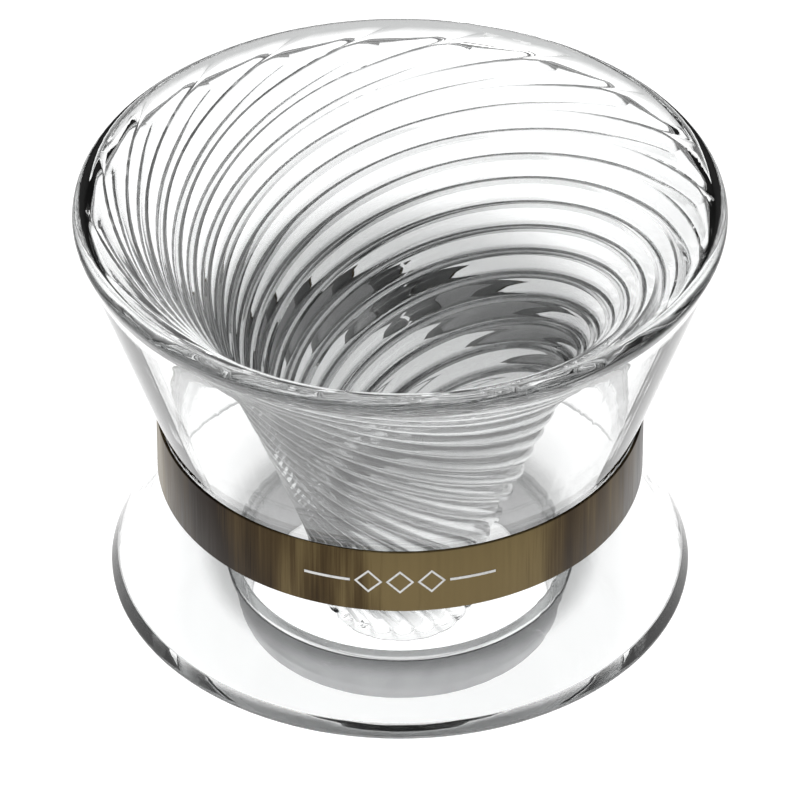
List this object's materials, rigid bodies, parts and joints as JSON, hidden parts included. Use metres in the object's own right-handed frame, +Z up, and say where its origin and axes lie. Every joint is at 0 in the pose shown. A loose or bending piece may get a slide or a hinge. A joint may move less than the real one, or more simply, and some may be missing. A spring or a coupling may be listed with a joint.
{
  "type": "pour over dripper",
  "caption": "Double-walled glass pour-over dripper: a spiral-ribbed cone with one drip hole in an hourglass shell, on a flat base with a locating boss, with a metal band at the waist.",
  "frame": {"origin": "centre of the boss's underside, the lowest point of the dripper", "axes": "+Z up along the axis of the cone, -Y towards the printed front of the band, +Y towards the band's seam"},
  "size_m": [0.1238, 0.1238, 0.097],
  "materials": {
    "clear_glass": "clear borosilicate, polished",
    "bronzed_steel": "bronze coated, finely brushed",
    "bare_steel": "plain rolled sheet",
    "grey_silicone": "matt"
  },
  "bodies": {
    "root": {"inner_cone": "clear_glass", "outer_shell": "clear_glass", "base_dish": "clear_glass", "waist_band": "bronzed_steel", "band_splice": "bare_steel", "band_liner": "grey_silicone"}
  },
  "joints": []
}
